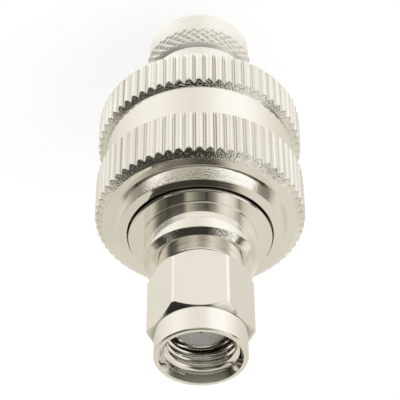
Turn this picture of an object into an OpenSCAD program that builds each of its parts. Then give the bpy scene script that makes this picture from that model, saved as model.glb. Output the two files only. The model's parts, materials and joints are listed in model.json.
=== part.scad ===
// Coaxial adapter: a small hexagon-nut plug at the top and a larger plug with a
// knurled coupling nut below, on one turned body.  It stands on the rim of the
// lower plug, with +Z along the axis and the origin at the middle of that rim.
// Lengths are in millimetres.

/* [Lower plug] */
// Length of the smooth tip below the knurled ring
tip_len = 2.35; // [1.5:0.05:4]
// How far the smooth tip stands out from the neck, on the radius
tip_step = 0.1; // [0.05:0.05:0.2]
// Chamfer at the tip's rim
tip_chamfer = 0.3; // [0.1:0.05:0.5]
// Height of the diamond-knurled ring
ring_len = 2.05; // [1:0.05:3]
// How far the ring's points stand out from the neck, on the radius
ring_step = 0.35; // [0.3:0.05:0.5]
// Depth of the ring's knurl
ring_knurl_depth = 0.2; // [0.05:0.05:0.3]
// Diamonds round the ring
ring_diamonds = 34; // [16:1:48]
// Rows of half diamonds up the ring
ring_rows = 5; // [3:1:8]
// Diameter of the neck above the ring
neck_d = 9.4; // [9:0.1:9.6]
// Length of the neck that stands out of the coupling nut
neck_free_len = 6.2; // [3:0.1:9]
// Wall of the barrel
plug_wall = 0.8; // [0.7:0.05:1]
// Inward lip at the rim, which holds the lower insulator
plug_lip = 0.35; // [0.2:0.05:0.5]
// Depth of the lower insulator's face below the rim
plug_recess = 1.6; // [0.5:0.1:3]
// Length of the lower insulator
plug_insulator_len = 12.4; // [8:0.1:14]
// Diameter of the lower centre contact
plug_contact_d = 2.3; // [2:0.1:2.6]
// Bore of the lower centre contact
plug_socket_d = 1.6; // [1.2:0.1:1.7]
// Depth of the lower centre contact's bore
plug_socket_depth = 6; // [3:0.5:8]
// Width of the slots in the lower centre contact
plug_slot_w = 0.2; // [0.1:0.05:0.3]
// Wall of the retaining bush
bush_wall = 1.25; // [0.8:0.05:1.8]
// How far the barrel and the bush reach into the flange, past the front flange
barrel_reach = 1.8; // [1:0.1:3]

/* [Coupling nut] */
// Height of the nut without its hub
nut_len = 12.5; // [11:0.1:16]
// Major diameter of the nut's thread
nut_thread_d = 15.88; // [15:0.01:17]
// Wall of the nut at its smooth band
nut_wall = 0.76; // [0.6:0.02:1.2]
// How far the knurl's ridges stand out from the smooth band
knurl_stand = 0.6; // [0.4:0.05:0.9]
// Depth of the knurl's grooves
knurl_depth = 0.3; // [0.1:0.05:0.35]
// Number of ridges
knurl_teeth = 64; // [32:1:80]
// Width of a ridge's flat top as a share of the pitch
ridge_top = 0.35; // [0.05:0.05:0.6]
// Height of the lower knurled band
lower_band_len = 4; // [2:0.1:5]
// Height of the smooth band
smooth_band_len = 3.45; // [2:0.05:5]
// Height of the chamfer at each knurled band's upper end
band_chamfer = 0.6; // [0.3:0.05:1]
// Height of the smaller chamfer at each band's lower end
band_lower_chamfer = 0.3; // [0.1:0.05:0.5]
// How much smaller the flat upper face is than the smooth band, on the radius
face_inset = 0.15; // [0.05:0.05:0.3]
// Wall of the hub round the flange, at its top
hub_wall = 1.05; // [0.9:0.05:1.2]
// How much wider the hub is at its foot, on the radius
hub_flare = 0.35; // [0.1:0.05:0.5]
// Height of the hub
hub_len = 1.35; // [0.8:0.05:2]
// Depth of the threaded socket from the nut's lower face
nut_socket_len = 9.7; // [7:0.1:10]
// Bevel at the socket's mouth
socket_bevel = 0.4; // [0.1:0.05:0.6]

/* [Body] */
// Gap between the front flange and the coupling nut's thread
front_flange_room = 0.74; // [0.3:0.02:1]
// How far the front flange stands out from the flange, on the radius
front_flange_step = 0.9; // [0.6:0.05:1.2]
// How far the flange stands above the hub
flange_stand = 0.35; // [0.1:0.05:1]
// Thickness of the front flange
front_flange_len = 1.4; // [0.8:0.1:2]
// Diameter of the body's shoulder
shoulder_d = 9.8; // [9.4:0.1:10.2]
// How much wider the shoulder is at its foot, on the radius
shoulder_flare = 0.1; // [0.05:0.025:0.5]
// Height of the shoulder's taper
shoulder_taper_len = 0.3; // [0.1:0.05:1.2]
// Height of the shoulder above the flange
shoulder_len = 3.3; // [2.5:0.1:6]
// Chamfer at the shoulder's top
shoulder_chamfer = 0.48; // [0.1:0.02:0.6]
// Diameter of the collar between the shoulder and the hexagon nut
neck_collar_d = 7.2; // [6.8:0.1:7.6]
// Height of that collar
neck_collar_len = 0.85; // [0.4:0.05:2]
// Diameter of the tail that the hexagon nut turns on
tail_d = 5.7; // [5.6:0.05:5.9]
// Length of the tail above the collar
tail_len = 3.4; // [3:0.1:5]
// Bore for the middle insulator
middle_bore_d = 6; // [5.4:0.1:6.6]
// Thickness of the wall above the middle insulator
middle_wall = 0.8; // [0.5:0.1:1.5]

/* [Hexagon nut] */
// Width across the flats
hex_af = 8; // [8:0.1:9]
// Diameter that the hexagon's corners are turned to
hex_corner_d = 9.05; // [8.9:0.05:9.2]
// Height of the hexagon
hex_len = 6.25; // [5.5:0.05:8]
// Height of the chamfer at the hexagon's upper end
hex_chamfer_h = 0.47; // [0.3:0.01:0.7]
// Height of the chamfer at the hexagon's lower end
hex_lower_chamfer_h = 0.87; // [0.5:0.01:1.2]
// Diameter of the hexagon's lower face
hex_lower_d = 7.6; // [7.2:0.1:7.9]
// Diameter of the round collar at the mouth
mouth_collar_d = 7.8; // [7.4:0.05:7.9]
// Height of the round collar
mouth_collar_len = 2.3; // [1:0.05:4]
// Major diameter of the hexagon nut's thread
sma_thread_d = 6.35; // [6.3:0.01:6.4]
// Length of the thread
sma_thread_len = 2.6; // [2:0.1:3]
// How much wider the relief behind the thread is, on the radius
sma_relief = 0.2; // [0.1:0.05:0.3]
// Diameter of the bevel at the mouth
mouth_bevel_d = 7; // [6.5:0.05:7.2]
// Depth of that bevel
mouth_bevel_len = 0.65; // [0.2:0.05:0.8]
// Depth of the hexagon nut's cavity, from its mouth
sma_cavity_len = 5.3; // [4.5:0.1:5.5]
// Depth of the upper insulator's face below the mouth
sma_recess = 2.75; // [2:0.05:3.2]

/* [Upper plug] */
// Outer diameter of the ferrule
ferrule_d = 4.5; // [4.4:0.05:4.6]
// Bore of the ferrule
ferrule_bore_d = 4; // [3.8:0.05:4.1]
// Diameter of the upper centre contact
sma_contact_d = 1.27; // [1.1:0.01:1.5]
// Bore of the upper centre contact
sma_socket_d = 0.94; // [0.7:0.01:1]
// Depth of the upper centre contact's bore
sma_socket_depth = 2.6; // [1.5:0.1:4]
// Width of the slot in the upper centre contact
sma_slot_w = 0.12; // [0.08:0.01:0.2]
// Diameter of the spigot that joins the two centre contacts
spigot_d = 0.76; // [0.6:0.02:1]
// Length of that spigot
spigot_len = 1.5; // [1:0.1:2]
// How far below the middle insulator's top the two centre contacts meet
joint_drop = 1.2; // [0.6:0.1:2]
// How far the centre contacts lie below their rims
contact_drop = 0.1; // [0.05:0.05:0.3]

/* [Rings and gaskets] */
// Thickness of the coupling nut's snap ring
nut_ring_t = 0.7; // [0.4:0.05:1]
// How far that ring's groove lies below the hub's top
nut_ring_drop = 1.2; // [0.8:0.1:1.6]
// Depth of that ring's groove in the flange
nut_ring_bite = 0.65; // [0.4:0.05:0.9]
// Depth of that ring's groove in the coupling nut
nut_ring_stand = 0.55; // [0.4:0.05:0.6]
// Gap in that ring
nut_ring_gap = 1.6; // [0.5:0.1:3]
// Thickness of the hexagon nut's snap ring
sma_ring_t = 0.5; // [0.3:0.05:0.7]
// How far that ring's groove lies above the hexagon nut's lower face
sma_ring_rise = 1.6; // [1:0.1:2]
// Depth of that ring's groove in the tail
sma_ring_bite = 0.35; // [0.2:0.05:0.4]
// Depth of that ring's groove in the hexagon nut
sma_ring_stand = 0.45; // [0.3:0.05:0.5]
// Gap in that ring
sma_ring_gap = 0.9; // [0.4:0.1:1.5]
// Thickness of the coupling nut's gasket
nut_gasket_t = 1; // [0.5:0.1:1.5]
// Thickness of the hexagon nut's gasket
sma_gasket_t = 0.7; // [0.4:0.1:0.9]

/* [Clearances] */
// Radial running clearance of the coupling nut
nut_run = 0.1; // [0.03:0.01:0.1]
// Radial running clearance of the hexagon nut
sma_run = 0.06; // [0.02:0.01:0.1]
// Axial clearance of the nuts and of the rings in the nuts' grooves
float_gap = 0.12; // [0.05:0.01:0.2]
// Radial gap between pieces that are pressed or pushed together
seat_gap = 0.02; // [0.01:0.01:0.03]
// Room round the snap rings and the gaskets in the nuts
ring_room = 0.1; // [0.05:0.01:0.2]
// Bevel on the turned edges
edge_bevel = 0.1; // [0.05:0.01:0.15]

/* [Hidden] */
$fn = 96;
eps = 0.01;
// Share of a contact's bore that is slotted
slot_share = 0.7;

// Heights of the lower plug, from the rim up
ring_z = tip_len;
neck_z = ring_z + ring_len;
nut_z = neck_z + neck_free_len;

// Heights of the coupling nut
smooth_band_z = nut_z + lower_band_len;
upper_band_z = smooth_band_z + smooth_band_len;
face_z = nut_z + nut_len;
hub_z = face_z + hub_len;
socket_top_z = nut_z + nut_socket_len;

// Heights of the body
front_flange_top_z = socket_top_z - float_gap;
front_flange_z = front_flange_top_z - front_flange_len;
flange_z = hub_z + flange_stand;
shoulder_z = flange_z + shoulder_len;
collar_z = shoulder_z + neck_collar_len;
tail_z = collar_z + tail_len;
nut_ring_z = hub_z - nut_ring_drop - nut_ring_t;

// Heights of the hexagon nut
hex_z = collar_z + float_gap;
mouth_collar_z = hex_z + hex_len;
mouth_z = mouth_collar_z + mouth_collar_len;
sma_cavity_z = mouth_z - sma_cavity_len;
sma_ring_z = hex_z + sma_ring_rise;
sma_face_z = mouth_z - sma_recess;

// Heights of the pieces inside
barrel_top_z = front_flange_top_z + barrel_reach;
plug_face_z = plug_recess;
plug_insulator_top_z = plug_face_z + plug_insulator_len;
middle_top_z = shoulder_z - middle_wall;
contact_joint_z = middle_top_z - joint_drop;
sma_socket_z = sma_face_z - contact_drop;
plug_socket_z = plug_face_z + contact_drop;

// Radii worked out from the sizes above
neck_r = neck_d / 2;
tip_r = neck_r + tip_step;
plug_bore_r = neck_r - plug_wall;
plug_insulator_r = plug_bore_r - seat_gap;
barrel_socket_r = neck_r + seat_gap;
thread_r = nut_thread_d / 2;
band_r = thread_r + nut_wall;
knurl_r = band_r + knurl_stand;
face_r = band_r - face_inset;
front_flange_r = thread_r - front_flange_room;
flange_r = front_flange_r - front_flange_step;
hub_top_r = flange_r + hub_wall;
hub_foot_r = hub_top_r + hub_flare;
flange_groove_r = flange_r - nut_ring_bite;
nut_bore_r = flange_r + nut_run;
nut_groove_r = nut_bore_r + nut_ring_stand;
tail_r = tail_d / 2;
tail_groove_r = tail_r - sma_ring_bite;
hex_bore_r = tail_r + sma_run;
hex_groove_r = hex_bore_r + sma_ring_stand;
sma_thread_r = sma_thread_d / 2;
sma_insulator_r = ferrule_bore_d / 2 - seat_gap;

nickel = [0.83, 0.81, 0.75];
gold = [0.87, 0.69, 0.33];
ptfe = [0.93, 0.93, 0.91];
rubber_black = [0.12, 0.12, 0.12];
silicone_red = [0.45, 0.19, 0.15];
bronze = [0.71, 0.52, 0.33];

// A ring with a square section
module ring(outer_r, inner_r, height) {
  difference() {
    cylinder(r = outer_r, h = height);
    translate([0, 0, -eps]) cylinder(r = inner_r, h = height + 2 * eps);
  }
}

// A ring that is cut through on the +X side, so that it can be sprung open
module split_ring(outer_r, inner_r, height, gap) {
  difference() {
    ring(outer_r, inner_r, height);
    translate([0, -gap / 2, -eps]) cube([2 * outer_r, gap, height + 2 * eps]);
  }
}

// Outline of a straight knurl: ridges with narrow flat tops and V grooves
function knurl_outline(outer_r, depth, teeth, top) = [
  for (i = [0 : teeth - 1])
    for (k = [[-0.5, 1], [-top / 2, 0], [top / 2, 0]])
      let (a = (i + k[0]) * 360 / teeth - 90, r = outer_r - k[1] * depth)
        [r * cos(a), r * sin(a)]
];

// A straight-knurled band whose upper end is turned down to top_r by a chamfer, and
// whose lower end has a smaller chamfer
module knurled_band(height, top_r) {
  r = knurl_r;
  low = band_lower_chamfer;
  intersection() {
    linear_extrude(height) polygon(knurl_outline(r, knurl_depth, knurl_teeth, ridge_top));
    rotate_extrude()
      polygon([
        [0, -eps], [r - low - eps, -eps], [r + eps, low + eps],
        [r + eps, height - band_chamfer - eps], [top_r - eps, height + eps],
        [0, height + eps]
      ]);
  }
}

// Points of the diamond knurl: high and low points alternate along each row, and
// the rows are half a diamond out of step
function diamond_points(outer_r, inner_r, depth, diamonds, rows, height) = concat(
  [for (j = [0 : rows]) for (c = [0 : 2 * diamonds - 1])
    let (r = outer_r - ((c + j) % 2) * depth, a = c * 180 / diamonds)
      [r * cos(a), r * sin(a), j * height / rows]],
  [for (j = [0, 1]) for (c = [0 : 2 * diamonds - 1])
    let (a = c * 180 / diamonds) [inner_r * cos(a), inner_r * sin(a), j * height]]
);

// A ring with a diamond knurl, where every face runs from the bottoms of two
// crossing V grooves up to a point
module diamond_ring(outer_r, inner_r, depth, diamonds, rows, height) {
  n = 2 * diamonds;
  inner_low = n * (rows + 1);
  inner_high = inner_low + n;
  outer_faces = [
    for (j = [0 : rows - 1]) for (c = [0 : n - 1])
      let (a = j * n + c, b = j * n + (c + 1) % n, d = a + n, e = b + n)
        for (f = ((c + j) % 2 == 0) ? [[a, d, b], [b, d, e]] : [[a, d, e], [a, e, b]]) f
  ];
  ends = [
    for (c = [0 : n - 1])
      let (d = (c + 1) % n, top = n * rows)
        for (f = [
          [c, d, inner_low + d, inner_low + c],
          [top + d, top + c, inner_high + c, inner_high + d],
          [inner_low + c, inner_low + d, inner_high + d, inner_high + c]
        ]) f
  ];
  polyhedron(
    diamond_points(outer_r, inner_r, depth, diamonds, rows, height),
    concat(outer_faces, ends)
  );
}

// Turned body: front flange, flange, shoulder, collar and tail on one axis
module main_body() {
  shoulder_r = shoulder_d / 2;
  color(nickel)
    difference() {
      rotate_extrude()
        polygon([
          [0, front_flange_z], [front_flange_r, front_flange_z],
          [front_flange_r, front_flange_top_z], [flange_r, front_flange_top_z],
          [flange_r, flange_z - edge_bevel], [flange_r - edge_bevel, flange_z],
          [shoulder_r + shoulder_flare, flange_z],
          [shoulder_r, flange_z + shoulder_taper_len],
          [shoulder_r, shoulder_z - shoulder_chamfer],
          [shoulder_r - shoulder_chamfer, shoulder_z],
          [neck_collar_d / 2, shoulder_z], [neck_collar_d / 2, collar_z],
          [tail_r, collar_z], [tail_r, tail_z], [0, tail_z]
        ]);
      translate([0, 0, front_flange_z - eps])
        cylinder(r = barrel_socket_r, h = barrel_top_z - front_flange_z + eps);
      translate([0, 0, barrel_top_z - eps])
        cylinder(d = middle_bore_d, h = middle_top_z - barrel_top_z + eps);
      translate([0, 0, middle_top_z - eps])
        cylinder(r = ferrule_d / 2 + seat_gap, h = tail_z - middle_top_z + 2 * eps);
      translate([0, 0, nut_ring_z - float_gap])
        ring(flange_r + eps, flange_groove_r, nut_ring_t + 2 * float_gap);
      translate([0, 0, sma_ring_z - float_gap / 2])
        ring(tail_r + eps, tail_groove_r, sma_ring_t + float_gap);
    }
}

// Thin sleeve that is the upper plug's outer contact
module ferrule() {
  color(nickel)
    translate([0, 0, middle_top_z])
      ring(ferrule_d / 2, ferrule_bore_d / 2, sma_face_z - middle_top_z);
}

// Upper insulator, just below the ferrule's rim
module sma_insulator() {
  color(ptfe)
    translate([0, 0, middle_top_z])
      ring(
        sma_insulator_r, sma_contact_d / 2 + seat_gap,
        sma_face_z - contact_drop / 2 - middle_top_z
      );
}

// Upper centre contact: a slotted socket with a spigot that enters the lower one
module sma_contact() {
  color(gold)
    difference() {
      union() {
        translate([0, 0, contact_joint_z])
          cylinder(d = sma_contact_d, h = sma_socket_z - contact_joint_z);
        translate([0, 0, contact_joint_z - spigot_len]) cylinder(d = spigot_d, h = spigot_len + eps);
      }
      translate([0, 0, sma_socket_z - sma_socket_depth])
        cylinder(d = sma_socket_d, h = sma_socket_depth + eps);
      translate([-sma_slot_w / 2, -sma_contact_d, sma_socket_z - sma_socket_depth * slot_share])
        cube([sma_slot_w, 2 * sma_contact_d, sma_socket_depth]);
    }
}

// Sealing ring on the tail's face, round the ferrule
module sma_gasket() {
  color(silicone_red)
    translate([0, 0, tail_z])
      ring(tail_r + ring_room, ferrule_d / 2 + seat_gap, sma_gasket_t);
}

// Split ring that keeps the hexagon nut on the tail
module sma_snap_ring() {
  color(bronze)
    translate([0, 0, sma_ring_z])
      split_ring(hex_groove_r - ring_room, tail_groove_r + seat_gap, sma_ring_t, sma_ring_gap);
}

// Hexagon coupling nut with a round collar at its mouth
module hex_nut() {
  corner_r = hex_corner_d / 2;
  collar_r = mouth_collar_d / 2;
  turned = [
    [0, hex_z], [hex_lower_d / 2, hex_z], [corner_r, hex_z + hex_lower_chamfer_h],
    [corner_r, mouth_collar_z - hex_chamfer_h], [collar_r, mouth_collar_z],
    [collar_r, mouth_z - edge_bevel], [collar_r - edge_bevel, mouth_z], [0, mouth_z]
  ];
  color(nickel)
    difference() {
      intersection() {
        rotate_extrude() polygon(turned);
        union() {
          translate([0, 0, hex_z]) cylinder(d = hex_af / cos(30), h = hex_len, $fn = 6);
          translate([0, 0, hex_z]) cylinder(r = collar_r, h = mouth_z - hex_z);
        }
      }
      translate([0, 0, hex_z - eps]) cylinder(r = hex_bore_r, h = mouth_z - hex_z);
      translate([0, 0, sma_cavity_z])
        cylinder(r = sma_thread_r + sma_relief, h = sma_cavity_len - sma_thread_len);
      translate([0, 0, mouth_z - sma_thread_len - eps])
        cylinder(r = sma_thread_r, h = sma_thread_len + 2 * eps);
      translate([0, 0, mouth_z - mouth_bevel_len])
        cylinder(r1 = sma_thread_r, r2 = mouth_bevel_d / 2, h = mouth_bevel_len + eps);
      translate([0, 0, sma_ring_z - float_gap])
        cylinder(r = hex_groove_r, h = sma_ring_t + 2 * float_gap);
    }
}

// Insulating bead in the middle of the body
module middle_insulator() {
  color(ptfe)
    translate([0, 0, barrel_top_z])
      ring(middle_bore_d / 2 - seat_gap, plug_contact_d / 2 + seat_gap, middle_top_z - barrel_top_z);
}

// Pressed bush that holds the lower insulator down in the barrel
module retaining_bush() {
  color(nickel)
    translate([0, 0, plug_insulator_top_z])
      ring(plug_insulator_r, plug_insulator_r - bush_wall, barrel_top_z - plug_insulator_top_z);
}

// Barrel of the lower plug, with its diamond-knurled ring
module plug_barrel() {
  lip_r = plug_bore_r - plug_lip;
  color(nickel)
    difference() {
      union() {
        rotate_extrude()
          polygon([
            [0, 0], [tip_r - tip_chamfer, 0], [tip_r, tip_chamfer], [tip_r, ring_z],
            [neck_r, ring_z], [neck_r, barrel_top_z], [0, barrel_top_z]
          ]);
        translate([0, 0, ring_z])
          diamond_ring(
            neck_r + ring_step, neck_r - plug_wall / 2, ring_knurl_depth,
            ring_diamonds, ring_rows, ring_len
          );
      }
      translate([0, 0, plug_face_z]) cylinder(r = plug_bore_r, h = barrel_top_z);
      translate([0, 0, -eps]) cylinder(r = lip_r, h = plug_face_z + 2 * eps);
      translate([0, 0, -eps]) cylinder(r1 = plug_bore_r + eps, r2 = lip_r, h = plug_lip + eps);
    }
}

// Lower insulator, seated on the lip inside the barrel
module plug_insulator() {
  color(ptfe)
    translate([0, 0, plug_face_z])
      ring(plug_insulator_r, plug_contact_d / 2 + seat_gap, plug_insulator_len);
}

// Lower centre contact: a slotted socket, drilled above for the upper one's spigot
module plug_contact() {
  slot_len = plug_socket_depth * slot_share;
  color(gold)
    difference() {
      translate([0, 0, plug_socket_z])
        cylinder(d = plug_contact_d, h = contact_joint_z - plug_socket_z);
      translate([0, 0, plug_socket_z - eps]) cylinder(d = plug_socket_d, h = plug_socket_depth + eps);
      translate([0, 0, contact_joint_z - spigot_len - float_gap])
        cylinder(r = spigot_d / 2 + seat_gap, h = 2 * spigot_len);
      for (a = [0, 90])
        rotate([0, 0, a])
          translate([-plug_slot_w / 2, -plug_contact_d, plug_socket_z - eps])
            cube([plug_slot_w, 2 * plug_contact_d, slot_len + eps]);
    }
}

// Flat sealing ring under the front flange, round the barrel
module nut_gasket() {
  color(rubber_black)
    translate([0, 0, front_flange_z - nut_gasket_t])
      ring(front_flange_r - ring_room, barrel_socket_r, nut_gasket_t);
}

// Split ring that keeps the coupling nut on the body's flange
module nut_snap_ring() {
  color(bronze)
    translate([0, 0, nut_ring_z])
      split_ring(nut_groove_r - ring_room, flange_groove_r + seat_gap, nut_ring_t, nut_ring_gap);
}

// Large coupling nut with two straight-knurled bands, a hub and a threaded socket
module coupling_nut() {
  color(nickel)
    difference() {
      union() {
        rotate_extrude()
          polygon([
            [0, nut_z], [band_r, nut_z], [band_r, face_z - band_chamfer],
            [hub_foot_r, face_z], [hub_top_r, hub_z - edge_bevel],
            [hub_top_r - edge_bevel, hub_z], [0, hub_z]
          ]);
        translate([0, 0, nut_z]) knurled_band(lower_band_len, band_r);
        translate([0, 0, upper_band_z]) knurled_band(face_z - upper_band_z, face_r);
      }
      translate([0, 0, nut_z - eps]) cylinder(r = nut_bore_r, h = nut_len + hub_len + 2 * eps);
      translate([0, 0, nut_z - eps]) cylinder(r = thread_r, h = nut_socket_len + eps);
      translate([0, 0, nut_z - eps])
        cylinder(r1 = thread_r + socket_bevel + eps, r2 = thread_r, h = socket_bevel + eps);
      translate([0, 0, nut_ring_z - float_gap])
        cylinder(r = nut_groove_r, h = nut_ring_t + 2 * float_gap);
    }
}

main_body();
ferrule();
sma_insulator();
sma_contact();
sma_gasket();
sma_snap_ring();
hex_nut();
middle_insulator();
retaining_bush();
plug_barrel();
plug_insulator();
plug_contact();
nut_gasket();
nut_snap_ring();
coupling_nut();
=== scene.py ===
# %% [markdown]
# # A nickel-plated coaxial adapter
#
# The part is a turned metal connector.  A wide coupling nut with two knurled bands
# spins on its body, a small hexagon nut spins on the narrow end, and a plain barrel
# with a diamond-knurled ring stands below.  The CAD model gives every place and size.
# This file dresses it: finer surfaces for what the eye sees, plating, and a studio.

# %% Load the fixed frame
import json
import math
import bpy
import numpy as np
from mathutils import Matrix, Vector


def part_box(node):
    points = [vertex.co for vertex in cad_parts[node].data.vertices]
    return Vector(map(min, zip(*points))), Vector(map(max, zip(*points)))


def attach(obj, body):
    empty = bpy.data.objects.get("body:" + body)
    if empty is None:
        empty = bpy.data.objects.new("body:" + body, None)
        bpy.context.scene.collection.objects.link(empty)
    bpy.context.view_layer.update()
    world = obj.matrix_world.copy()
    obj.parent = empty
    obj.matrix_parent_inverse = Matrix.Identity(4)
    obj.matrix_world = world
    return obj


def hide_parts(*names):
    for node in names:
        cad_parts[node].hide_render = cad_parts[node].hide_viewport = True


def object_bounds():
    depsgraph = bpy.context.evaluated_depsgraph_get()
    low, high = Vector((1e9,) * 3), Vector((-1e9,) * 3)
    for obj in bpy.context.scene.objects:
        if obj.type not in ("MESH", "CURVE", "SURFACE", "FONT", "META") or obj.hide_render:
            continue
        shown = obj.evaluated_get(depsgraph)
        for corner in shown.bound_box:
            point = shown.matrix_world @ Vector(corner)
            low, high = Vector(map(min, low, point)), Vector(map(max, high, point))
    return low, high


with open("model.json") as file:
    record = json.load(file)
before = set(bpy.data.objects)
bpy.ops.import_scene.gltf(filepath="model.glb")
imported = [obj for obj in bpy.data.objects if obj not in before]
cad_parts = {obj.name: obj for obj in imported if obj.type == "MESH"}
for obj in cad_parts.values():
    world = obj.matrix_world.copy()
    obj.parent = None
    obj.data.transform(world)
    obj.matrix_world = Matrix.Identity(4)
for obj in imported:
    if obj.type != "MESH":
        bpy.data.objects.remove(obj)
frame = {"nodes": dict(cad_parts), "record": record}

cad_low, cad_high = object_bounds()
MM = 0.001
print("CAD box in mm:", [round((b - a) / MM, 2) for a, b in zip(cad_low, cad_high)])

# %% [markdown]
# ## The camera
#
# The connector stands on its barrel and is seen from above at about 43 degrees, with
# the camera turned half round, so that the small end hangs at the bottom of the
# picture.  A long lens close to the object gives the strong perspective, in which the
# near mouth looks as large as the far barrel.

# %% Camera
def span(node):
    """Lowest and highest height of a CAD node, in millimetres."""
    low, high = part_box(node)
    return low[2] / MM, high[2] / MM


mouth_z = span("hex_nut")[1]
eye_back, eye_above_mouth, aim_below_mouth = 97.8, 72.7, 17.55
half_turn, lean = 180.0, 0.42
scene = bpy.context.scene
eye = Vector((0, -eye_back, mouth_z + eye_above_mouth)) * MM
aim = Vector((0, 0, mouth_z - aim_below_mouth)) * MM
look = (aim - eye).normalized()
roll = math.radians(half_turn - lean)
camera_data = bpy.data.cameras.new("camera")
camera = bpy.data.objects.new("camera", camera_data)
scene.collection.objects.link(camera)
camera_data.lens = 133.83
camera_data.sensor_width = 36
camera_data.clip_start = 0.005
camera_data.clip_end = 20
camera.location = eye
camera.rotation_mode = "QUATERNION"
upright = look.to_track_quat("-Z", "Y").to_matrix()
camera.rotation_quaternion = (upright @ Matrix.Rotation(roll, 3, "Z")).to_quaternion()
scene.camera = camera
print("camera", round((aim - eye).length / MM, 1), "mm from the point it looks at")

# %% [markdown]
# ## Shader maths written as Python
#
# A finish is a formula: some noise, a mask, a mix.  Typing it as an expression is
# easier to read than dragging wires, so one small class wraps an output socket and
# gives it Python's own signs.  Each sign adds one Math node, and one method adds any
# other node.

# %% A value in a material
class Value:
    """An output socket that can be added, multiplied and subtracted in Python."""

    def __init__(self, tree, socket=None):
        self.tree, self.socket = tree, socket

    def node(self, kind, settings=None, values=None, out=0):
        """Adds a node of this kind: first its settings, then its sockets' values or links."""
        made = self.tree.nodes.new("ShaderNode" + kind)
        for key, setting in (settings or {}).items():
            if key == "stops":
                ramp = made.color_ramp
                while len(ramp.elements) < len(setting):
                    ramp.elements.new(0.5)
                for element, (place, colour) in zip(ramp.elements, setting):
                    element.position = place
                    element.color = (*colour, 1)
            else:
                setattr(made, key, setting)
        for key, value in (values or {}).items():
            if isinstance(value, Value):
                self.tree.links.new(value.socket, made.inputs[key])
            else:
                made.inputs[key].default_value = value
        return Value(self.tree, made.outputs[out])

    def math(self, operation, *others):
        """One Math node with this value first and the others after it."""
        return self.node("Math", {"operation": operation}, dict(enumerate((self, *others))))

    def __add__(self, other):
        return self.math("ADD", other)

    def __sub__(self, other):
        return self.math("SUBTRACT", other)

    def __mul__(self, other):
        return self.math("MULTIPLY", other)

    def __truediv__(self, other):
        return self.math("DIVIDE", other)

    def __rsub__(self, other):
        return self.node("Math", {"operation": "SUBTRACT"}, {0: other, 1: self})

    __radd__ = __add__
    __rmul__ = __mul__

    def vector(self, operation, *others):
        """One Vector Math node with this vector first."""
        inputs = (0, 3) if operation == "SCALE" else (0, 1)
        return self.node("VectorMath", {"operation": operation}, dict(zip(inputs, (self, *others))))

    def parts(self):
        """The x, y and z of a vector."""
        split = self.node("SeparateXYZ", None, {0: self}).socket.node
        return [Value(self.tree, socket) for socket in split.outputs]

    def smooth(self, low, high):
        """0 below low, 1 above high, and a soft S from one to the other."""
        settings = {"clamp": True, "interpolation_type": "SMOOTHSTEP"}
        return self.node("MapRange", settings, {0: self, 1: low, 2: high, 3: 0.0, 4: 1.0})

    def blend(self, first, second):
        """Mixes two colours, with this value as the share of the second."""
        four = [c if isinstance(c, Value) else (*c, 1) for c in (first, second)]
        return self.node("Mix", {"data_type": "RGBA"}, {0: self, 6: four[0], 7: four[1]}, out=2)


def new_material(name):
    """An empty node material, the start of its maths, and its output node."""
    material = bpy.data.materials.new(name)
    material.use_nodes = True
    material.node_tree.nodes.clear()
    output = material.node_tree.nodes.new("ShaderNodeOutputMaterial")
    return material, Value(material.node_tree), output


def surface(material, start, output, values):
    """Ends a material with one Principled shader that has these socket values."""
    shader = start.node("BsdfPrincipled", None, values)
    material.node_tree.links.new(shader.socket, output.inputs["Surface"])
    return material


def place_mm(start):
    """Object coordinates in millimetres: the vector, the radius and the height."""
    where = start.node("TexCoord", out=3).vector("SCALE", 1 / MM)
    x, y, z = where.parts()
    return where, (x * x + y * y).math("SQRT"), z


def lathe_normal(start, slope):
    """The surface's normal, tilted by slope along the cut of the lathe.  With u the unit
    vector away from the axis and n the normal, the tilt is towards (n.z u - (n.u) z)."""
    x, y, z = start.node("NewGeometry", out=0).parts()
    away = start.node("CombineXYZ", None, {0: x, 1: y, 2: 0.0}).vector("NORMALIZE")
    normal = start.node("NewGeometry", out=1)
    up = normal.parts()[2]
    outward = normal.node("VectorMath", {"operation": "DOT_PRODUCT"}, {0: normal, 1: away}, out=1)
    ux, uy = away.parts()[:2]
    along = start.node("CombineXYZ", None, {0: ux * up, 1: uy * up, 2: outward * -1.0})
    return normal.vector("ADD", along.vector("SCALE", slope)).vector("NORMALIZE")


# %% [markdown]
# ## Nickel plate
#
# Bright nickel is a warm white metal.  Turning leaves very fine rings on it, which run
# round the axis on flat faces and cylinders alike, so they depend on radius and height
# only.  Where the knurling tool has run out the metal is torn, and the plating there is
# sandy: an attribute called grain, stored with each surface, says where.

# %% The plating
PALE_NICKEL, DEEP_NICKEL = (0.910, 0.890, 0.855), (0.895, 0.875, 0.835)
# Near-black colour for painted shade in gaps, corners and knurl valleys, and for faint random
# streaks
PAINTED_SHADE_AND_STREAK_DARK = (0.12, 0.11, 0.085)
CLOUDS_PER_MM, SPECKS_PER_MM = 0.35, 6.5
FINE_RINGS_PER_MM, WIDE_RINGS_PER_MM = 17.0, 3.1
RING_CLIMB = 0.83


def noise(start, kind, where, scale, detail):
    """Noise of this scale and detail: kind is 3D over a place or 1D over one value."""
    values = {"Vector" if kind == "3D" else "W": where, "Scale": scale, "Detail": detail}
    return start.node("TexNoise", {"noise_dimensions": kind}, values)


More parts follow.
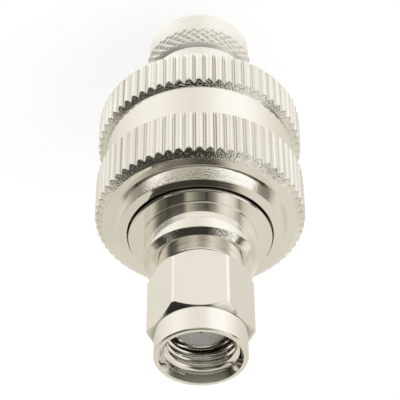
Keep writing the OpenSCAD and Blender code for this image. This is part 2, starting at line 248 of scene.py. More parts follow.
def nickel(name, lathe, roughness, sand=0.006, dull=0.03, metallic=1.0):
    """Warm white metal with faint clouds.  Rings run round the axis, as noise of radius +
    0.83 height, so that they show on flat faces and on walls, and lathe is the slope of
    their sides.  Where the attribute grain is 1, the plating is sandy: sand is the height
    of the specks in millimetres, and dull the roughness they add.  Where the dark-colour
    attribute is 1, the colour turns dark: painted shade in gaps, corners, the small
    mouth's bevel and beside the knurl's valleys, and faint random streaks on the knurl."""
    material, start, output = new_material(name)
    place, radius, z = place_mm(start)
    # Dark-colour attribute: painted shade in gaps, corners, the mouth's bevel and beside the
    # knurl's valleys, plus faint random streaks
    grain = start.node("Attribute", {"attribute_name": "grain"}, out=2)
    grime = start.node("Attribute", {"attribute_name": "grime"}, out=2)
    clouds = noise(start, "3D", place, CLOUDS_PER_MM, 3.0)
    colour = grime.blend(clouds.smooth(0.35, 0.7).blend(PALE_NICKEL, DEEP_NICKEL), PAINTED_SHADE_AND_STREAK_DARK)
    across = radius + z * RING_CLIMB
    fine = noise(start, "1D", across, FINE_RINGS_PER_MM, 1.0)
    wide = noise(start, "1D", across, WIDE_RINGS_PER_MM, 2.0)
    slope = (fine - 0.5) * (lathe * 2.6) + (wide - 0.5) * (lathe * 0.9)
    specks = noise(start, "3D", place, SPECKS_PER_MM, 1.0)
    height = specks.smooth(0.25, 0.75) * grain * (sand * MM)
    bump = start.node("Bump", None, {
        "Height": height, "Distance": 1.0, "Strength": 1.0, "Normal": lathe_normal(start, slope)})
    return surface(material, start, output, {
        "Base Color": colour, "Metallic": metallic, "Normal": bump,
        "Roughness": clouds * 0.03 + grain * dull + roughness})


turned = nickel("nickel_turned", 0.003, 0.04, sand=0.012)
milled = nickel("nickel_milled", 0.006, 0.06)
knurled = nickel("nickel_knurled", 0.003, 0.04, sand=0.012)
satin = nickel("nickel_satin", 0.02, 0.20, sand=0.02, dull=0.35, metallic=0.75)
print("plating made:", turned.name, milled.name, knurled.name, satin.name)


# %% [markdown]
# ## The pieces that hardly show
#
# The insulators are natural white fluoropolymer, the contacts are gold plated, the
# gaskets are rubber and silicone, and the snap rings are spring bronze.  Each has a
# small noise of its own, so that none is a single flat colour.  The small mouth's disc
# lies deep in shadow, and that shade is painted into it: its white is a darker grey copy.

# %% Plain finishes with a fine noise
def plain_finish(name, light, dark, roughness, scale, bump_mm, metallic=0.0):
    """Two close colours mixed by noise of the given scale per millimetre, with a bump."""
    material, start, output = new_material(name)
    place = place_mm(start)[0]
    cloud = noise(start, "3D", place, scale, 4.0)
    return surface(material, start, output, {
        "Base Color": cloud.smooth(0.3, 0.7).blend(light, dark), "Metallic": metallic,
        "Roughness": cloud * 0.1 + roughness,
        "Normal": start.node("Bump", None, {"Height": cloud * (bump_mm * MM), "Distance": 1.0})})


ptfe = plain_finish(
    "white_fluoropolymer", (0.86, 0.86, 0.85), (0.80, 0.80, 0.78), 0.38, 2.0, 0.004)
# Painted shade: a darker grey copy of the white fluoropolymer, for the disc deep in the small mouth
shaded_ptfe = plain_finish(
    "fluoropolymer_painted_shade", (0.36, 0.35, 0.33), (0.32, 0.31, 0.29), 0.35, 2.0, 0.003)
gold = plain_finish(
    "gold_plate", (0.93, 0.74, 0.38), (0.88, 0.68, 0.32), 0.16, 3.0, 0.001, metallic=1.0)
silicone = plain_finish(
    "red_silicone", (0.22, 0.10, 0.075), (0.18, 0.085, 0.065), 0.45, 3.0, 0.004)
rubber = plain_finish(
    "black_rubber", (0.030, 0.030, 0.031), (0.020, 0.020, 0.021), 0.55, 4.0, 0.006)
bronze = plain_finish(
    "spring_bronze", (0.74, 0.50, 0.30), (0.64, 0.42, 0.25), 0.28, 3.0, 0.002, metallic=1.0)
finish_of_slot = {
    "nickel_plate": turned, "gold_plate": gold, "white_insulator": ptfe,
    "red_silicone": silicone, "black_rubber": rubber, "spring_bronze": bronze}
slot_of_node = {s["node"]: s["material_slot"] for s in frame["record"]["subparts"]}
for node, part in frame["nodes"].items():
    for place in part.material_slots:
        place.material = finish_of_slot[slot_of_node[node]]
print("finishes:", sorted(finish_of_slot))


# %% [markdown]
# ## Surfaces from a section and an angle
#
# Every visible piece here is turned, knurled or milled on one axis.  So one recipe makes
# them all: a closed outline in the plane of radius and height is carried round the axis,
# and where the piece isn't round, the outline's radii change with the angle.  Corners
# are rounded as on real work, because a metal edge shows as a thin line of light.

# %% Rounding the corners of a section
MOST_OF_AN_EDGE = 0.42


def rounded(corners, steps=4):
    """Rounds a closed section.  corners is a list of (radius, height, rounding), where
    radius and height may be arrays over the angle.  Each corner becomes a small parabola
    from a point just before it to a point just after it: start, corner and end weighted
    by (1-s)^2, 2s(1-s) and s^2 as s goes from 0 to 1."""
    columns = max(np.size(c[i]) for c in corners for i in (0, 1))
    points = np.array([[np.broadcast_to(part, columns) for part in c[:2]] for c in corners])
    points = points.transpose(0, 2, 1).astype(float)
    size = np.array([c[2] for c in corners])[:, None]
    reach = []
    for shift in (1, -1):
        side = np.roll(points, shift, axis=0) - points
        length = np.linalg.norm(side, axis=2)
        part = np.minimum(size, MOST_OF_AN_EDGE * length) / np.maximum(length, 1e-9)
        reach.append(points + side * part[:, :, None])
    rows = []
    s = np.linspace(0, 1, steps)[:, None, None]
    for corner, point, start, end in zip(corners, points, *reach):
        if corner[2] == 0:
            rows.append(point[None])
        else:
            rows.append((1 - s) ** 2 * start + 2 * s * (1 - s) * point + s ** 2 * end)
    return np.concatenate(rows)


# %% Normals that keep flat faces flat
def flat_normals(points):
    """Normals at points[i, j], which close on each other in both directions.  A face's
    share in the normal of its corners grows with the fourth power of its area, so a
    wide flat face stays a true mirror right up to its narrow rounded edge."""
    right = np.roll(points, -1, axis=1)
    below = np.roll(points, -1, axis=0)
    across = np.roll(right, -1, axis=0)
    face = np.cross(across - points, below - right)
    area = np.linalg.norm(face, axis=2, keepdims=True)
    face = face * (area / area.max()) ** 3
    corners = ((0, 0), (1, 0), (0, 1), (1, 1))
    total = sum(np.roll(face, shift, axis=(0, 1)) for shift in corners)
    return total / np.maximum(np.linalg.norm(total, axis=2, keepdims=True), 1e-30)


# %% Carrying a section round the axis
def around(name, section, angles, **painted):
    """Makes a closed surface: row i and column j lie at radius section[i, j, 0] and height
    section[i, j, 1], at angle angles[j].  Rows close on each other, and so do columns.
    Each further argument is a function of radius and height, stored as an attribute."""
    rows, columns = section.shape[:2]
    if columns == 1:
        columns = len(angles)
        section = np.broadcast_to(section, (rows, columns, 2))
    radius, height = section[:, :, 0], section[:, :, 1]
    points = np.stack([radius * np.cos(angles), radius * np.sin(angles), height], axis=2)
    i, j = np.meshgrid(np.arange(rows), np.arange(columns), indexing="ij")
    ni, nj = (i + 1) % rows, (j + 1) % columns
    faces = np.stack([
        i * columns + j, i * columns + nj, ni * columns + nj, ni * columns + j], axis=2)
    mesh = bpy.data.meshes.new(name)
    mesh.from_pydata((points.reshape(-1, 3) * MM).tolist(), [], faces.reshape(-1, 4).tolist())
    mesh.polygons.foreach_set("use_smooth", np.ones(rows * columns, dtype=bool))
    for attribute, amount in painted.items():
        values = np.broadcast_to(amount(radius, height), (rows, columns)).astype(np.float32)
        stored = mesh.attributes.new(attribute, "FLOAT", "POINT")
        stored.data.foreach_set("value", values.ravel())
    mesh.normals_split_custom_set_from_vertices(flat_normals(points).reshape(-1, 3).tolist())
    mesh.update()
    piece = bpy.data.objects.new(name, mesh)
    scene.collection.objects.link(piece)
    print(f"{name}: {rows} rows, {columns} columns, {2 * rows * columns} triangles")
    return piece


def dress(piece, body, node, material):
    """Rides the piece on its body, lets it stand for its CAD node, and gives it a finish."""
    piece.data.materials.append(material)
    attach(piece, body)
    if node:
        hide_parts(node)


def even_angles(columns):
    """Equal steps once round the axis."""
    return np.arange(columns) * 2 * np.pi / columns


# %% [markdown]
# ## The coupling nut
#
# The wide nut carries two bands of straight knurling with a smooth band between them.
# A real knurl is rolled: each ridge swells in a rounded lobe, and neighbours meet in a
# sharp valley.  The bands are then chamfered at 45 degrees, and since the valleys are
# lower they meet that chamfer nearer its top, which draws the saw-toothed edge.

# %% The outline of the knurl
nut_low, nut_high = span("coupling_nut")
RIDGES = 64
ridge_r, knurl_depth, band_r = 9.3, 0.28, 8.7
half_lobe = np.array([
    (0.0, 0.0), (0.09, 0.04), (0.17, 0.14), (0.24, 0.29), (0.30, 0.46), (0.35, 0.62),
    (0.40, 0.79), (0.44, 0.92), (0.47, 0.99), (0.50, 1.0)])
share = np.concatenate([-half_lobe[:0:-1, 0], half_lobe[:-1, 0]])
drop = np.concatenate([half_lobe[:0:-1, 1], half_lobe[:-1, 1]])
ridge_number = np.repeat(np.arange(RIDGES), len(share))
share, drop = np.tile(share, RIDGES), np.tile(drop, RIDGES)
knurl_angles = (ridge_number + share) * 2 * np.pi / RIDGES - np.pi / 2
knurl_r = ridge_r - knurl_depth * drop
print("knurl:", RIDGES, "ridges", round(2 * np.pi * ridge_r / RIDGES, 3), "mm apart")

# %% The coupling nut's surface
lower_band_top = nut_low + 4.0
upper_band_low = lower_band_top + 3.45
face_z = nut_low + 12.5
socket_top = nut_low + 9.7
thread_r = 7.94
flange_r = 6.3
bore_r = flange_r + 0.1
edge = 0.03
low_slope = 0.85
chamfer_r = ridge_r - knurl_depth - 0.02
face_r = band_r - 0.15
face_slope = 0.6 / (ridge_r - face_r)
hub_r, hub_foot_r = flange_r + 1.0, flange_r + 1.4
groove_top, groove_low = nut_high - 1.08, nut_high - 2.02
groove_depth = 0.55
lead_in = 0.4
nut_section = rounded([
    (thread_r + lead_in, nut_low, edge),
    (chamfer_r, nut_low, edge),
    (knurl_r, nut_low + (knurl_r - chamfer_r), edge),
    (knurl_r, lower_band_top - (knurl_r - band_r) * low_slope, 0.08),
    (band_r, lower_band_top, edge),
    (band_r, upper_band_low, edge),
    (chamfer_r, upper_band_low, edge),
    (knurl_r, upper_band_low + (knurl_r - chamfer_r), edge),
    (knurl_r, face_z - (knurl_r - face_r) * face_slope, 0.08),
    (face_r, face_z, edge),
    (hub_foot_r, face_z + 0.016, 0.03),
    (hub_r + 0.02, nut_high - 0.05, 0.02),
    (hub_r - 0.02, nut_high - 0.02, 0.02),
    (bore_r, nut_high, 0.09),
    (bore_r, groove_top, 0),
    (bore_r + groove_depth, groove_top, 0),
    (bore_r + groove_depth, groove_low, 0),
    (bore_r, groove_low, 0),
    (bore_r, socket_top, 0),
    (thread_r, socket_top, 0),
    (thread_r, nut_low + lead_in, edge),
])


def nut_grain(radius, height):
    """Sand on the chamfers of the two bands and, a little less, on the hub's cone."""
    chamfer = ridge_r - band_r + 0.02
    ends = [(height > end - chamfer) & (height < end + 0.01) for end in (lower_band_top, face_z)]
    bands = (ends[0] | ends[1]) & (radius > face_r - 0.01)
    cone = (height > face_z + 0.1) & (radius > hub_r)
    return np.maximum(bands * 1.0, cone * 0.7)


def nut_shade_and_streaks(radius, height):
    """Painted shade: dark lines low on the flanks of the knurl, some strong and some faint,
    beside the bottom of each valley, where neighbouring ridges shade the flanks; and faint
    random streaks all over.  A line's strength falls off as
    exp(-(d / 0.05)^2) with the distance d from 0.40 of a ridge's width."""
    rng = np.random.default_rng(21)
    on_wall = (radius > band_r + 0.1) & (height < face_z - 0.1)
    flanks = 2 * RIDGES
    strength = np.repeat(rng.uniform(0.10, 0.60, flanks), len(share) // flanks)
    line = strength * np.exp(-((np.abs(share) - 0.40) / 0.05) ** 2)
    return on_wall * (line + rng.uniform(0.0, 0.12, len(share)))


nut = around("coupling_nut_surface", nut_section, knurl_angles, grain=nut_grain, grime=nut_shade_and_streaks)
dress(nut, "coupling_nut", "coupling_nut", knurled)

# %% [markdown]
# ## The turned body
#
# The body carries both nuts.  It shows as the flange inside the hub, a bright upright
# shoulder with a chamfer, and a narrow collar just behind the hexagon.  The shoulder is a
# mirror that stands on another one: low on it the flange shows upside down.

# %% The body's surface
body_low, body_high = span("main_body")
flange_z = nut_high + 0.35
shoulder_z = flange_z + 3.3
collar_z = shoulder_z + 0.85
barrel_top = span("plug_barrel")[1]
bead_top = span("middle_insulator")[1]
front_flange_r, front_flange_top = 7.2, body_low + 1.4
ring_bite = 0.65
barrel_seat_r, bead_r = 4.72, 3.0
shoulder_r, shoulder_chamfer_r = 4.95, 4.42
chamfer_z = shoulder_z - 0.50
collar_neck_r, tail_r, ferrule_seat_r = 3.6, 2.85, 2.27
body_section = rounded([
    (barrel_seat_r, body_low, 0),
    (front_flange_r, body_low, edge),
    (front_flange_r, front_flange_top, edge),
    (flange_r, front_flange_top, 0),
    (flange_r, groove_low, 0),
    (flange_r - ring_bite, groove_low, 0),
    (flange_r - ring_bite, groove_top, 0),
    (flange_r, groove_top, 0),
    (flange_r, flange_z - 0.1, 0.04),
    (flange_r - 0.1, flange_z, 0.04),
    (shoulder_r, flange_z, 0.12),
    (shoulder_r, chamfer_z, 0.04),
    (shoulder_chamfer_r, shoulder_z, 0.04),
    (collar_neck_r, shoulder_z, 0.03),
    (collar_neck_r, collar_z, edge),
    (tail_r, collar_z, 0),
    (tail_r, body_high, 0),
    (ferrule_seat_r, body_high, 0),
    (ferrule_seat_r, bead_top, 0),
    (bead_r, bead_top, 0),
    (bead_r, barrel_top, 0),
    (barrel_seat_r, barrel_top, 0),
])


def body_grain(radius, height):
    """A little sand on the shoulder's chamfer, where the tool ran out."""
    return ((height > chamfer_z) & (radius > shoulder_chamfer_r - 0.02)) * 0.25


def flange_gap_painted_shade(radius, height):
    """Painted shade: the flange's edge is darkened where it stands in the nut's gap."""
    in_gap = (height < flange_z - 0.09) & (height > nut_high - 1.0)
    return ((np.abs(radius - flange_r) < 0.01) & in_gap) * 0.85


body = around("body_surface", body_section, even_angles(384), grain=body_grain, grime=flange_gap_painted_shade)
dress(body, "body", "main_body", turned)

# %% [markdown]
# ## The hexagon nut
#
# Hexagon bar is turned down a little, so the six corners are narrow cylindrical strips.
# Its ends are chamfered by a cone, and where a cone cuts a flat side the edge is a
# shallow arc.  The arc needs no drawing: each point of the outline just meets the cone
# at the height that its own radius gives.

# %% The hexagon's outline
hex_low, hex_high = span("hex_nut")
flat_r, corner_r = 4.0, 4.525
half_flat = math.acos(flat_r / corner_r)
sixth = math.pi / 3
over_flat = np.linspace(-half_flat, half_flat, 29)
over_corner = np.linspace(half_flat, sixth - half_flat, 6)[1:-1]
within = np.concatenate([over_flat, over_corner])
hex_angles = np.concatenate([within + k * sixth for k in range(6)]) - math.pi / 2
from_flat = np.tile(within, 6)
hex_r = np.minimum(flat_r / np.cos(from_flat), corner_r)
print("hexagon:", len(hex_angles), "columns, corners turned to", 2 * corner_r, "mm")

# %% The hexagon nut's surface
collar_r, low_face_r = 3.9, 3.8
hexagon_top = hex_low + 6.25
top_cone = 0.47 / (corner_r - collar_r)
low_cone = 0.87 / (corner_r - low_face_r)
mouth_thread_r, bevel_r, bevel_depth = 3.175, 3.5, 0.65
relief_r, relief_top, relief_low = mouth_thread_r + 0.2, hex_high - 3.9, hex_high - 5.3
tail_bore_r, ring_groove_r = 2.91, 3.36
ring_low_z, ring_high_z = hex_low + 1.48, hex_low + 2.22
hex_section = rounded([
    (tail_bore_r, hex_low, 0),
    (low_face_r, hex_low, edge),
    (hex_r, hex_low + (hex_r - low_face_r) * low_cone, edge),
    (hex_r, hexagon_top - (hex_r - collar_r) * top_cone, edge),
    (collar_r, hexagon_top, edge),
    (collar_r, hexagon_top + 0.12, 0),
    (collar_r, hex_high - 0.1, 0.05),
    (collar_r - 0.1, hex_high, 0.05),
    (bevel_r, hex_high, 0.03),
    (mouth_thread_r, hex_high - bevel_depth, 0.04),
    (mouth_thread_r, relief_top + 0.2, 0),
    (relief_r, relief_top, 0),
    (relief_r, relief_low, 0),
    (tail_bore_r, relief_low, 0),
    (tail_bore_r, ring_high_z, 0),
    (ring_groove_r, ring_high_z, 0),
    (ring_groove_r, ring_low_z, 0),
    (tail_bore_r, ring_low_z, 0),
])


def hex_painted_shade(radius, height):
    """Painted shade: a dark line in the corner between the hexagon's chamfer and the collar,
    and a darker bevel in the mouth, which dims the bevel's reflections."""
    corner = 0.6 * np.exp(-((height - hexagon_top) / 0.04) ** 2) * (radius < collar_r + 0.05)
    in_mouth = (radius > mouth_thread_r - 0.01) & (radius < bevel_r - 0.02)
    return corner + 0.45 * (in_mouth & (height > hex_high - bevel_depth - 0.01))


hexagon = around("hex_nut_surface", hex_section, hex_angles, grime=hex_painted_shade)
dress(hexagon, "hex_nut", "hex_nut", milled)

# %% [markdown]
# ## Threads
#
# A thread is one ridge wound round the wall.  Its section is a blunt triangle with 60
# degree sides, and it is carried along a helix.  At both ends the ridge sinks into the
# wall over half a turn, as a cutter leaves it.

# %% A ridge along a helix
def thread(name, wall_r, crest_r, pitch, low, high, body_name):
    """Carries a blunt triangle along a helix: at angle a the ridge's middle is at height
    low + pitch * a / (2 pi), and its crest stands in from the wall by its full height,
    times a factor that rises from 0 to 1 over the first half turn and falls over the last."""
    turns = (high - low) / pitch
    count = int(turns * 96)
    angle = np.linspace(0, turns * 2 * np.pi, count)
    full = wall_r - crest_r
    rise = np.clip(np.minimum(angle, angle[-1] - angle) / np.pi, 0.0, 1.0)
    rise = rise * rise * (3 - 2 * rise)
    root, crest, nip, buried = 0.44 * pitch, 0.09 * pitch, 0.03, 0.05
    half_across = np.array([crest, crest + nip, root, root])
    half_inward = np.array([full, full - nip, 0.0, -buried])
    across = np.concatenate([-half_across[::-1], half_across])
    inward = np.concatenate([half_inward[::-1], half_inward])[:, None]
    radius = wall_r - np.maximum(inward, 0) * rise - np.minimum(inward, 0)
    height = low + pitch * angle / (2 * np.pi) + across[:, None] * (0.25 + 0.75 * rise)
    points = np.stack([radius * np.cos(angle), radius * np.sin(angle), height], axis=2)
    rows = len(across)
    i, j = np.meshgrid(np.arange(rows), np.arange(count - 1), indexing="ij")
    ni = (i + 1) % rows
    first, second = i * count + j, ni * count + j
    faces = np.stack([first, second, second + 1, first + 1], axis=2).reshape(-1, 4).tolist()
    faces.append([k * count for k in range(rows)][::-1])
    faces.append([k * count + count - 1 for k in range(rows)])
    mesh = bpy.data.meshes.new(name)
    mesh.from_pydata((points.reshape(-1, 3) * MM).tolist(), [], faces)
    mesh.polygons.foreach_set("use_smooth", np.ones(len(faces), dtype=bool))
    mesh.set_sharp_from_angle(angle=math.radians(35))
    mesh.update()
    piece = bpy.data.objects.new(name, mesh)
    scene.collection.objects.link(piece)
    print(f"{name}: {turns:.1f} turns, {len(faces)} faces")
    dress(piece, body_name, None, milled)


THREADS_36_PER_INCH, THREADS_24_PER_INCH = 0.7056, 1.0583
thread("hex_nut_thread_ridge", mouth_thread_r, 2.8, THREADS_36_PER_INCH,
       hex_high - 3.5, hex_high - 0.55, "hex_nut")
thread("coupling_thread_ridge", thread_r, 7.4, THREADS_24_PER_INCH,
       nut_low + 0.9, socket_top - 0.7, "coupling_nut")

# %% [markdown]
# ## Ferrule and insulator in the small mouth
#
# Down the mouth a thin sleeve stands round a white fluoropolymer disc.  The disc has a
# thin lip over the contact, with a small hole in it.

# %% Ferrule and upper insulator
ferrule_low, ferrule_high = span("ferrule")
ferrule_bore_r, ferrule_r = 2.0, 2.25
ferrule_section = rounded([
    (ferrule_bore_r, ferrule_low, 0), (ferrule_r, ferrule_low, 0),
    (ferrule_r, ferrule_high, 0.05), (ferrule_bore_r, ferrule_high, 0.04)])
ferrule = around("ferrule_surface", ferrule_section, even_angles(128))
dress(ferrule, "body", "ferrule", turned)

disc_low, disc_high = span("sma_insulator")
contact_top = span("sma_contact")[1]
disc_r, contact_room_r, hole_r = 1.98, 0.655, 0.20
lip_low = max(disc_high, contact_top) + 0.008
lip_high = lip_low + 0.03
disc_section = rounded([
    (contact_room_r, disc_low, 0), (disc_r, disc_low, 0), (disc_r, lip_high, 0.05),
    (hole_r, lip_high, 0.01), (hole_r, lip_low, 0), (contact_room_r, lip_low, 0)])
print("disc face", round(disc_high, 3), "contact", round(contact_top, 3))
disc = around("sma_insulator_surface", disc_section, even_angles(128))
dress(disc, "body", "sma_insulator", shaded_ptfe)

# %% [markdown]
# ## The barrel and its diamond knurl
#
# The far end is a plain tube with one narrow ring of diamond knurling.  Two sets of V
# grooves cross on it, one leaning left and one leaning right, and what stands between
# them are small pyramids.

# %% The barrel's surface
barrel_low, barrel_high = span("plug_barrel")
DIAMONDS, DIAMOND_ROWS = 34, 2.5
tip_r, neck_r, plug_bore_r = 4.8, 4.7, 3.9
valley_r, pyramid_height = 4.90, 0.15
step_z, step = barrel_low + 1.6, 0.35
ring_low, ring_high = barrel_low + 2.35, barrel_low + 4.4
run_out = 0.12
barrel_angles = even_angles(DIAMONDS * 12)


def diamond_rows(rows=41):
    """Rows of the knurled ring: two triangle waves run up the ring, one leaning each way,
    and the surface follows the lower of the two, which leaves pyramids.  At both ends of
    the ring they run out to the valley's radius."""
    height = np.linspace(ring_low, ring_high, rows)[:, None]
    turn = barrel_angles * DIAMONDS / (2 * np.pi)
    up = (height - ring_low) / (ring_high - ring_low) * DIAMOND_ROWS
    rng = np.random.default_rng(7)
    wobble = rng.uniform(-0.04, 0.04, (rows, 1))
    lean = [np.abs(((turn + s * up + wobble) % 1.0) * 2 - 1) for s in (1, -1)]
    rise = np.minimum(lean[0], lean[1])
    ends = np.clip(np.minimum(height - ring_low, ring_high - height) / run_out, 0, 1)
    radius = valley_r + pyramid_height * np.clip(rise * 1.35, 0, 1) * ends
    return np.stack([radius, np.broadcast_to(height, radius.shape)], axis=2)


lower_part = rounded([
    (plug_bore_r, barrel_high, 0),
    (plug_bore_r, step_z, 0),
    (plug_bore_r - step, step_z, 0),
    (plug_bore_r - step, barrel_low + step, edge),
    (plug_bore_r, barrel_low, edge),
    (tip_r - 0.3, barrel_low, 0.05),
    (tip_r, barrel_low + 0.3, 0.08),
    (tip_r, ring_low, 0),
    (tip_r, barrel_high, 0),
])[:-1]
upper_part = rounded([
    (neck_r, ring_high + 0.35, 0.05),
    (neck_r, barrel_high - 0.3, edge),
    (neck_r - 0.2, barrel_high, 0),
    (plug_bore_r, barrel_high, 0),
])[:-1]
barrel_section = np.concatenate([
    np.repeat(lower_part, len(barrel_angles), axis=1), diamond_rows(),
    np.repeat(upper_part, len(barrel_angles), axis=1)])


def barrel_grain(radius, height):
    """Sand on the knurled ring."""
    on_ring = (height > ring_low - 0.01) & (height < ring_high + 0.01)
    return (on_ring & (radius > neck_r)) * 0.5


barrel = around("plug_barrel_surface", barrel_section, barrel_angles, grain=barrel_grain)
dress(barrel, "body", "plug_barrel", satin)

# %% [markdown]
# ## The lower insulator
#
# Inside the barrel a long white insulator is held by the lip at the rim.

# %% Lower insulator
low_z, high_z = span("plug_insulator")
contact_bore_r, plug_disc_r = 1.17, plug_bore_r - 0.02
plug_section = rounded([
    (contact_bore_r, low_z, edge), (plug_disc_r, low_z, 0.05),
    (plug_disc_r, high_z, 0), (contact_bore_r, high_z, 0)])
plug_disc = around("plug_insulator_surface", plug_section, even_angles(160))
dress(plug_disc, "body", "plug_insulator", ptfe)

# %% [markdown]
# ## The studio
#
# Polished metal is a mirror, so its look is the look of the room.  Each face of a turned
# piece mirrors one narrow strip of the sky, because its slope is the same all round, and
# the place round the axis picks the azimuth.  So the room is made of bands, one above the
# other, and each band is a ramp of brightness over the azimuth:
#
# - GROUND shows in the barrel, FLOOR in all the upright walls
# - APRON and HORIZON show in the cone of the wide nut's hub
# - SCREEN shows in the far bevel of the small mouth
# - LEDGE shows in the chamfers that face left and right
# - SLIT and SLOT show in the shoulder where it mirrors the hub's flat top
# - WALL and EDGE show in the flat faces that look up, and in the shoulder's foot
# - CEILING, TOP and ZENITH show in the chamfers and hollows that look up and forward

# %% Brightness at azimuths in degrees, 0 towards the camera and 90 towards +X
GROUND = {-180: .80, -130: .95, -100: 1.0, -70: .92, -28: .88, 8: .84, 45: .92, 75: 1.15,
          130: 1.15, 180: .80}
FLOOR = {-180: .68, -165: .62, -150: .56, -130: .60, -110: .64, -90: .74, -72: .85,
         -55: .93, -28: .90, -10: .76, 8: .70, 30: .76, 50: .84, 70: .83, 90: .77,
         110: .71, 130: .64, 150: .55, 165: .62, 180: .68}
APRON = {-180: .66, -130: .64, -108: .62, -99: .52, -92: .16, -76: .16, -70: .60, -66: .92,
         -36: .95, -24: .84, -14: .60, -4: .44, 12: .40, 26: .42, 36: .60, 50: .85,
         60: .75, 68: .40, 76: .20, 88: .25, 98: .45, 108: .60, 180: .66}
HORIZON = {-180: .66, -150: .69, -110: .60, -96: .45, -82: .22, -68: .55, -55: .82,
           -47: .70, -38: .47, -30: .26, -20: .11, -11.5: .03, -5: .09, 3: .11, 12: .21,
           22: .33, 28: .27, 33: .07, 39: .03, 88: .03, 100: .12, 116: .45, 130: .52,
           180: .62}
SCREEN = {-180: .62, -150: .60, -115: .55, -95: .42, -86: .20, -80: .04, -60: .13,
          -20: .18, 20: .19, 60: .15, 80: .04, 88: .22, 100: .35, 112: .52, 128: .55,
          150: .60, 180: .62}
LEDGE = {-180: .62, -125: .62, -104: .80, -95: .60, -90: .12, -82: .12, -78: .90, 24: .92,
         34: .30, 42: .05, 92: .05, 101: .25, 106: .55, 112: .66, 180: .62}
SLIT = {-180: .62, -120: .70, -70: .92, 100: .92, 120: .70, 180: .62}
SLOT = {-180: .62, -120: .70, -70: .92, 52: .92, 60: .20, 70: .06, 98: .10, 112: .50,
        130: .60, 180: .62}
WALL = {-180: .62, -150: .69, -112: .85, -98: .90, -86: .60, -74: .32, -62: .36, -50: .50,
        -31: .72, -20: .52, -12: .34, 0: .34, 12: .52, 30: .47, 57: .38, 70: .14, 86: .04,
        98: .12, 112: .50, 130: .60, 160: .54, 180: .60}
EDGE = {-180: .62, -150: .69, -120: .66, -103: .55, -88: .24, -78: .60, -70: .84,
        -56: .96, -43: .76, -30: .24, -21.5: .12, -13.3: .03, -6: .11, 1: .12, 11: .25,
        20: .37, 24: .42, 29: .25, 34: .06, 38: .03, 68: .03, 78: .10, 91: .14, 103: .35,
        115: .60, 160: .54, 180: .60}
CEILING = {-180: .62, -150: .68, -120: .66, -104: .62, -92: .50, -80: .26, -68: .08,
           -50: .03, 150: .05, 165: .35, 174: .56, 180: .60}
TOP = {-180: .55, -140: .62, -100: .75, -60: .85, -48: .66, -36: .26, -26: .08, -16: .03,
       100: .03, 118: .40, 140: .50, 180: .55}
ZENITH = {-180: .62, -130: .66, -85: .66, -70: .36, -52: .12, -45: .08, 10: .07, 31: .12,
          60: .17, 86: .16, 100: .30, 118: .56, 180: .60}

# Each band with the elevations between which it takes over from the one before
BANDS = (
    (-90.0, -90.0, GROUND), (-48.2, -47.6, FLOOR), (-30.0, -25.0, APRON),
    (-12.0, -9.0, HORIZON), (3.0, 10.0, SCREEN), (19.5, 22.0, LEDGE), (39.1, 39.2, SLIT),
    (39.6, 39.7, SLOT), (40.1, 40.3, WALL), (41.6, 41.9, EDGE), (43.55, 43.9, CEILING),
    (46.6, 47.2, TOP), (63.0, 68.0, ZENITH))
print("room:", len(BANDS), "bands,", sum(len(band) for _, _, band in BANDS), "lights and darks")


# %% The room as a mirror sees it
def warm(level):
    """Colour of a part of the room with this brightness: the darker, the warmer.  The
    plating gives back 0.88 of the light, so the room is brighter by that much."""
    shade = min(max((0.95 - level) / 0.5, 0.0), 1.0)
    level = level / 0.88
    return level * (1.015 + 0.04 * shade), level, level * (0.97 - 0.17 * shade)


def room(way):
    """The studio's colour in one direction: each band's ramp over the azimuth, and the
    elevation blends one band into the next."""
    x, y, z = way.parts()
    azimuth = x.math("ARCTAN2", y * -1.0) * (180 / math.pi)
    elevation = z.math("ARCSINE") * (180 / math.pi)
    turn = azimuth / 360.0 + 0.5
    colour = None
    for low, high, band in BANDS:
        stops = [(a / 360 + 0.5, warm(level)) for a, level in band.items()]
        ramp = turn.node("ValToRGB", {"stops": stops}, {0: turn})
        colour = elevation.smooth(low, high).blend(colour, ramp) if colour else ramp
    return colour


# %% [markdown]
# ## Floor, world and lamp
#
# The camera sees a white floor that keeps a share of the object's own shadow, and a white
# world.  Mirrors see the room instead, in the floor and in the world alike.

# %% Floor
def studio_floor(count=128, size=3.0, drop=0.00002):
    """A wide disc, a hair below the height that the object stands on."""
    turn = even_angles(count)
    height = np.full(count, cad_low[2] - drop)
    ring = np.stack([size * np.cos(turn), size * np.sin(turn), height], axis=1)
    mesh = bpy.data.meshes.new("floor")
    mesh.from_pydata(ring.tolist(), [], [list(range(count))])
    floor = bpy.data.objects.new("floor", mesh)
    scene.collection.objects.link(floor)
    return floor


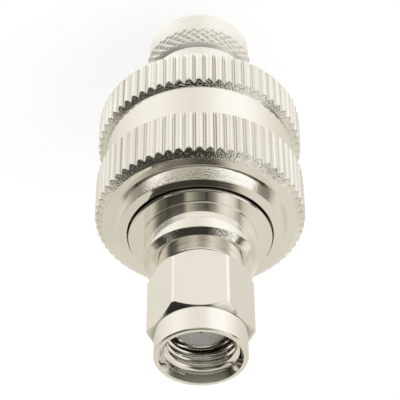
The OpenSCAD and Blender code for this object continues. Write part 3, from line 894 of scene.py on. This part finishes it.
def ray_kinds(start):
    """1 for rays from the camera, and 1 for rays that a mirror or glass sends on."""
    outputs = start.node("LightPath").socket.node.outputs
    kinds = ("Camera", "Glossy", "Transmission")
    camera_ray, glossy, glass = (Value(start.tree, outputs[f"Is {kind} Ray"]) for kind in kinds)
    return camera_ray, glossy.math("MAXIMUM", glass)


floor = studio_floor()
floor_material, start, output = new_material("floor_white")
camera_ray, mirror = ray_kinds(start)
away = start.node("NewGeometry", out=4).vector("SCALE", -1.0)
colour = mirror.blend((1.0, 1.0, 1.0), room(away))
glow_share, more_in_mirrors = 0.8, 0.15
own = camera_ray.math("MAXIMUM", mirror) * glow_share + mirror * more_in_mirrors
lit = start.node("BsdfDiffuse", None, {"Color": (0.9, 0.9, 0.9, 1)})
glow = start.node("Emission", None, {"Color": colour, "Strength": 1.03})
mixed = start.node("MixShader", None, {0: own, 1: lit, 2: glow})
floor_material.node_tree.links.new(mixed.socket, output.inputs["Surface"])
floor.data.materials.append(floor_material)
print("floor laid at", round(cad_low[2] / MM, 3), "mm")

# %% World
world = bpy.data.worlds.new("studio")
scene.world = world
world.use_nodes = True
world.node_tree.nodes.clear()
start = Value(world.node_tree)
camera_ray, mirror = ray_kinds(start)
seen = camera_ray.blend((0.75, 0.75, 0.75), (1.0, 1.0, 1.0))
colour = mirror.blend(seen, room(start.node("TexCoord", out=0)))
background = start.node("Background", None, {"Color": colour, "Strength": 1.0})
sky = world.node_tree.nodes.new("ShaderNodeOutputWorld")
world.node_tree.links.new(background.socket, sky.inputs["Surface"])
print("world ready")

# %% Soft lamp
middle = Vector((0, 0, 0.02))


def soft_lamp(name, place, size, watts):
    """A square area lamp that points at the object and stays out of mirrors."""
    data = bpy.data.lights.new(name, "AREA")
    data.size = size
    data.energy = watts
    lamp = bpy.data.objects.new(name, data)
    scene.collection.objects.link(lamp)
    lamp.location = place
    lamp.rotation_mode = "QUATERNION"
    lamp.rotation_quaternion = (middle - lamp.location).to_track_quat("-Z", "Y")
    lamp.visible_glossy = False


soft_lamp("key", Vector((-0.25, -0.2, 0.5)), 0.4, 1.6)

# %% Finish
scene.view_settings.view_transform = "Standard"
